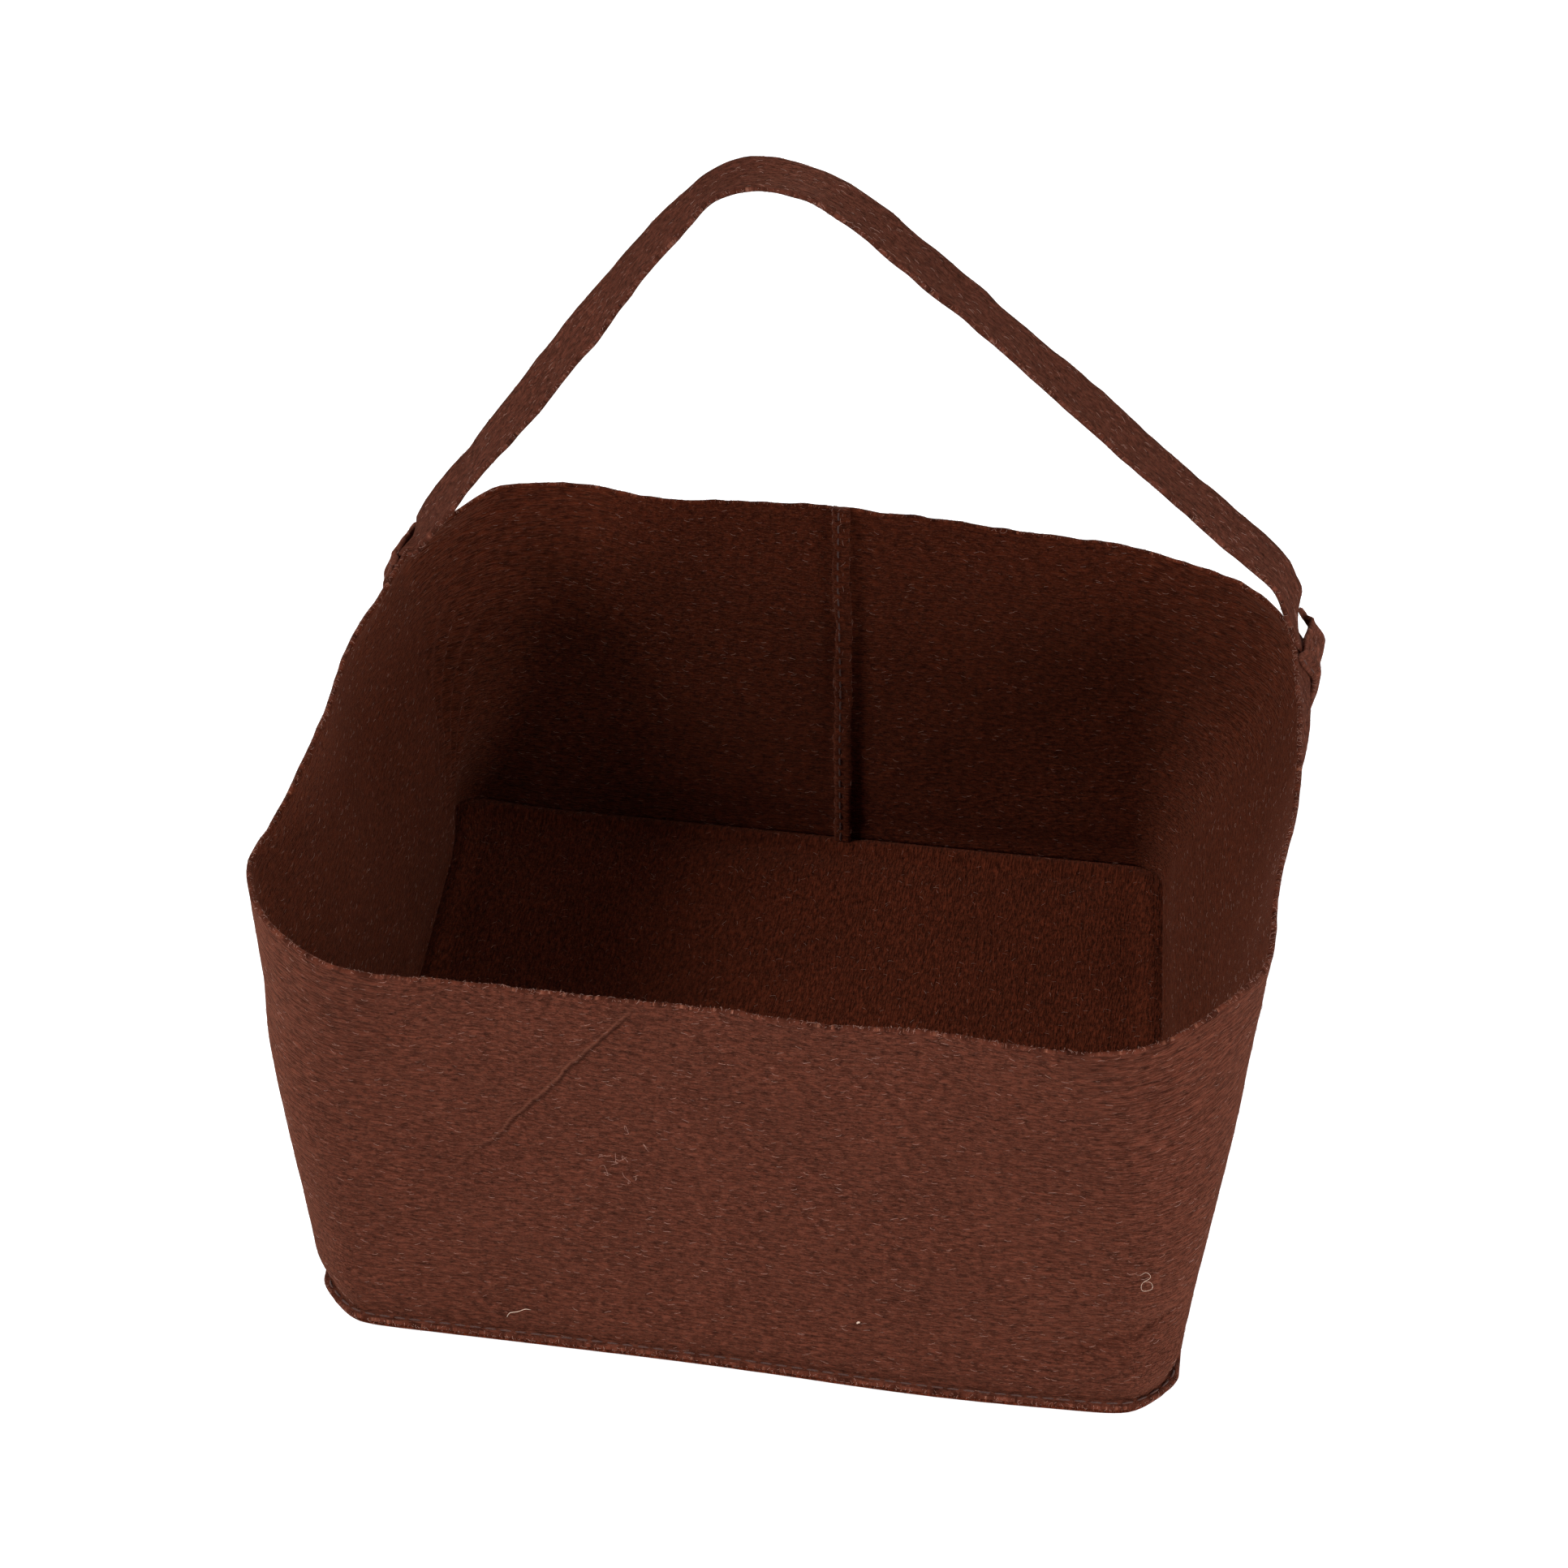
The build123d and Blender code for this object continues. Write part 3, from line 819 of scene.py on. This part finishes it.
STRAP_SETTLED_Y = 0.136                      # where the free strap hangs over the settled bag
widths = np.linspace(-1, 1, 11) * (STRAP_WIDTH / 2 - FELT * EDGE_SHARE)


def sewn_sections(side):
    """Cross lines of the strap's sewn end, from its end up to the rim."""
    found = []
    for z in np.linspace(STRAP_LOW + FELT * EDGE_SHARE, RIM_HEIGHT - 0.002, 9):
        y = STRAP_Y + widths
        found.append(settle(off_side(side, y, np.full(len(y), z), PLY_GAP + FELT / 2)))
    return found


line, _ = flow(strap_line, 60)
run = np.gradient(line[:, :2], axis=0)
run /= np.linalg.norm(run, axis=1, keepdims=True)
free = []
for (x, z, low), (rx, rz) in zip(line, run):
    outward = np.array([-rz, 0, rx])
    dip = math.radians(low)
    breadth = math.cos(dip) * np.array([0, 1.0, 0]) + math.sin(dip) * outward
    free.append(np.array([x / 1000, STRAP_SETTLED_Y, z / 1000]) + widths[:, None] * breadth)
sections = sewn_sections(-1) + free + sewn_sections(1)[::-1]
strap_mid, strap_s = flow(np.array(sections), 260)
strap_mid = strap_mid.transpose(1, 0, 2)
over_rim = smooth(RIM_HEIGHT + 0.004, RIM_HEIGHT + 0.03, strap_mid[:, :, 2])
way = np.stack([np.tile(strap_s, (len(widths), 1)), np.zeros_like(over_rim), np.zeros_like(over_rim)], 2)
for edge, seed in ((0, 51), (-1, 52)):
    wave = 0.0007 * lumps(way[0], 0.050, seed) + 0.00035 * lumps(way[0], 0.0085, seed + 10)
    weight = np.clip(widths / widths[edge], 0, 1)[:, None]
    reach = (strap_mid[edge] - strap_mid[len(widths) // 2])
    reach /= np.linalg.norm(reach, axis=1, keepdims=True)
    strap_mid += weight[:, :, None] * (wave * over_rim[edge])[None, :, None] * reach[None]
strap_normal, _ = grid_normals(strap_mid)
ripple = 0.0005 * lumps(strap_mid.reshape(-1, 3), 0.022, 55).reshape(over_rim.shape) * over_rim
cup = 0.0008 * (1 - (widths / widths[-1]) ** 2)[:, None] * over_rim
strap_mid += strap_normal * (ripple + cup)[:, :, None]
strap_uv = np.stack(np.meshgrid(strap_s, widths), 2)
strap = felt_sheet("strap_felt", strap_mid, strap_uv, strap_felt)


# ---------------------------------------------------------------- stitches

def settled_row(points, outs):
    """Points moved as the felt has settled, with the way that the felt faces there."""
    there = settle(points)
    ahead = settle(points + outs * 0.001)
    facing = ahead - there
    return there, facing / np.linalg.norm(facing, axis=1, keepdims=True)


foot_line = ring(FELT * 2, 0.0028)
foot_points = np.column_stack([foot_line, np.full(len(foot_line), FELT * 2)])
foot_row = stitch_row("foot_stitches", *settled_row(foot_points, np.tile((0, 0, 1.0), (len(foot_points), 1))),
                      closed=True)

seam_z = np.linspace(FELT * 2 + 0.003, RIM_HEIGHT - 0.002, 60)
seam_points = np.column_stack([seam_x(seam_z) + 0.0006, back_inner_y(seam_z) - 0.0049, seam_z])
seam_row = stitch_row("back_seam_stitches",
                      *settled_row(seam_points, np.tile((0, -1.0, 0), (len(seam_z), 1))))


def patch_row(side):
    """Stitches down one edge of a patch, across its end and up the other edge."""
    inset = 0.003
    low, near, far = PATCH_LOW + inset, PATCH_FRONT + inset, PATCH_BACK - inset
    y = np.concatenate([np.full(24, near), np.linspace(near, far, 16)[1:-1], np.full(24, far)])
    z = np.concatenate([np.linspace(RIM_HEIGHT - 0.003, low, 24), np.full(14, low),
                        np.linspace(low, RIM_HEIGHT - 0.003, 24)])
    on = settle(off_side(side, y, z, PLY_GAP + FELT))
    beyond = settle(off_side(side, y, z, PLY_GAP + FELT + 0.001))
    facing = beyond - on
    facing /= np.linalg.norm(facing, axis=1, keepdims=True)
    return stitch_row("patch_stitches_" + SIDE_NAME[side], on, facing)


patch_rows = {side: patch_row(side) for side in (-1, 1)}


# ---------------------------------------------------------------- lint and fuzz

loose = [
    lint_on(wall, "wall_lint", 16000, seed=3),
    lint_on(wall, "wall_edge_fuzz", 700000, length=0.0016, spread=2.5, lift=0.9, where="fuzz", seed=4),
    lint_on(base, "base_lint", 12000, spread=3.1, where="inside", seed=5),
    lint_on(fold, "seam_lint", 30000, seed=6),
]
strap_lint = [
    lint_on(strap, "strap_lint", 26000, seed=7),
    lint_on(strap, "strap_edge_fuzz", 500000, length=0.0014, spread=2.5, lift=0.9, where="fuzz", seed=8),
]
for side, patch in patches.items():
    loose.append(lint_on(patch, "patch_lint_" + SIDE_NAME[side], 30000, seed=9 + side))


# ---------------------------------------------------------------- loose hairs on the felt

def on_front(x, z, off):
    """A point this far in front of the settled front wall."""
    line = ring(z, off)
    line = line[line[:, 1] < 0]
    line = line[np.argsort(line[:, 0])]
    return (x, float(np.interp(x, line[:, 0], line[:, 1])), z)


HAIR_STEPS = 28
HAIR_SIDES = 5


def hair(name, points, radius, material):
    """A thin hair or speck through settled points."""
    path, _ = flow(settle(points), HAIR_STEPS)
    ahead = np.gradient(path, axis=0)
    ahead /= np.linalg.norm(ahead, axis=1, keepdims=True)
    first = np.cross(ahead, (0.31, 0.52, 0.79))
    first /= np.linalg.norm(first, axis=1, keepdims=True)
    second = np.cross(ahead, first)
    turn = np.linspace(0, 2 * math.pi, HAIR_SIDES, endpoint=False)[None, :, None]
    girth = (radius * (1 - 0.6 * np.linspace(-1, 1, HAIR_STEPS) ** 6))[:, None, None]
    verts = path[:, None] + girth * (np.cos(turn) * first[:, None] + np.sin(turn) * second[:, None])
    count = HAIR_STEPS * HAIR_SIDES
    index = np.arange(count).reshape(HAIR_STEPS, HAIR_SIDES)
    nxt = np.roll(index, -1, axis=1)
    faces = np.stack([index[:-1], nxt[:-1], nxt[1:], index[1:]], 2).reshape(-1, 4)
    none = np.zeros(count)
    return felt_mesh(name, verts.reshape(-1, 3), faces, np.zeros((count, 2)), np.zeros((count, 3)),
                     none, none, material, caps=[index[0][::-1], index[-1]])


loose.append(hair("hair_bent", [on_front(x, z, off) for x, z, off in (
    (-0.1125, 0.0125, 0.0004), (-0.1105, 0.0163, 0.0012), (-0.1066, 0.0178, 0.0014),
    (-0.1030, 0.0196, 0.0012), (-0.1003, 0.0190, 0.0005))], 0.00016, pale_lint))
loose.append(hair("hair_looped", [on_front(x, z, off) for x, z, off in (
    (0.1835, 0.0860, 0.0004), (0.1862, 0.0885, 0.0012), (0.1882, 0.0850, 0.0014), (0.1846, 0.0815, 0.0012),
    (0.1850, 0.0768, 0.0012), (0.1892, 0.0772, 0.0014), (0.1886, 0.0812, 0.0012), (0.1852, 0.0822, 0.0005))],
    0.00010, pale_lint))
loose.append(hair("speck_front", [on_front(x, z, 0.0004) for x, z in ((0.0585, 0.0375), (0.0592, 0.0382),
                                                                      (0.0600, 0.0384))], 0.0005, pale_lint))
curl = np.random.default_rng(61)
for number in range(9):
    x, z = -0.052 + curl.normal() * 0.010, 0.124 + curl.normal() * 0.009
    bend = np.cumsum(curl.normal(size=(5, 2)) * 0.0022, axis=0)
    course = [on_front(x + dx, z + dz, 0.0006) for dx, dz in bend]
    loose.append(hair(f"hair_curled_{number}", course, 0.00009, lint))


# ---------------------------------------------------------------- riding on the bodies

for piece in [wall, base, fold, foot_row, seam_row, *patches.values(), *patch_rows.values(), *loose]:
    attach(piece, "bag")
for piece in [strap, *strap_lint]:
    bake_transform(piece)

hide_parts("wall_strip")
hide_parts("base_panel")
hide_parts("handle_strap", "handle_end_left", "handle_end_right")
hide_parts("patch_left")
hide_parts("patch_right")
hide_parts("foot_seam_thread")
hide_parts("back_seam_thread")
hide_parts("patch_thread_left")
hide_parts("patch_thread_right")


# ---------------------------------------------------------------- floor, light and camera

def floor_material():
    n = Nodes("studio_floor")
    path = n.add("ShaderNodeLightPath").outputs["Is Camera Ray"]
    paper = n.add("ShaderNodeBsdfDiffuse", None, Color=(0.80, 0.80, 0.80, 1)).outputs[0]
    strength = n.math("MULTIPLY", path, 0.80)
    glow = n.add("ShaderNodeEmission", None, Color=(1, 1, 1, 1), Strength=strength).outputs[0]
    both = n.add("ShaderNodeAddShader", None, i0=paper, i1=glow).outputs[0]
    n.add("ShaderNodeOutputMaterial", None, Surface=both)
    return n.material


bpy.ops.mesh.primitive_plane_add(size=14)
floor = bpy.context.object
floor.name = "studio_floor"
floor.data.materials.append(floor_material())

# The world is white where it is seen, and almost dark as a light
world = bpy.data.worlds.new("studio")
bpy.context.scene.world = world
world.use_nodes = True
nodes, links = world.node_tree.nodes, world.node_tree.links
nodes.clear()
path = nodes.new("ShaderNodeLightPath")
seen = nodes.new("ShaderNodeMath")
seen.operation = "MAXIMUM"
links.new(path.outputs["Is Camera Ray"], seen.inputs[0])
links.new(path.outputs["Is Glossy Ray"], seen.inputs[1])
clear = nodes.new("ShaderNodeMath")
clear.operation = "MAXIMUM"
links.new(seen.outputs[0], clear.inputs[0])
links.new(path.outputs["Is Transmission Ray"], clear.inputs[1])
level = nodes.new("ShaderNodeMapRange")
links.new(clear.outputs[0], level.inputs["Value"])
level.inputs["To Min"].default_value = 0.02
level.inputs["To Max"].default_value = 1.0
sky = nodes.new("ShaderNodeBackground")
links.new(level.outputs[0], sky.inputs["Strength"])
links.new(sky.outputs[0], nodes.new("ShaderNodeOutputWorld").inputs[0])


LAMP_SIZE = 0.9
LAMP_DISTANCE = 2.6


def softbox(name, azimuth, height, power):
    """A square lamp round the bag: degrees from the front towards the right, and degrees up."""
    light = bpy.data.lights.new(name, "AREA")
    light.shape = "SQUARE"
    light.size = LAMP_SIZE
    light.energy = power
    lamp = bpy.data.objects.new(name, light)
    bpy.context.scene.collection.objects.link(lamp)
    az, up = math.radians(azimuth), math.radians(height)
    away = Vector((math.sin(az) * math.cos(up), -math.cos(az) * math.cos(up), math.sin(up)))
    lamp.location = away * LAMP_DISTANCE + Vector((0, 0, 0.12))
    lamp.rotation_euler = away.to_track_quat("Z", "Y").to_euler()


softbox("key_left", -65, 45, 44)
softbox("front_low", 8, 4, 33)
softbox("side_right", 66, 25, 22)
softbox("side_right_high", 95, 45, 5)
softbox("side_right_low", 84, 6, 13)
softbox("rear_low", 180, 8, 26)

camera = bpy.data.objects.new("camera", bpy.data.cameras.new("camera"))
bpy.context.scene.collection.objects.link(camera)
camera.data.lens = 79.29
camera.data.sensor_width = 36
right = np.array([0.98674496, 0.1622002, -0.00504819])
up = np.array([-0.09417706, 0.59770537, 0.79616517])
back = np.cross(right, up)
position = (0.213408, -1.331078, 1.217930)
camera.matrix_world = Matrix([[right[i], up[i], back[i], position[i]] for i in range(3)] + [[0, 0, 0, 1]])
bpy.context.scene.camera = camera
bpy.context.scene.view_settings.view_transform = "Standard"
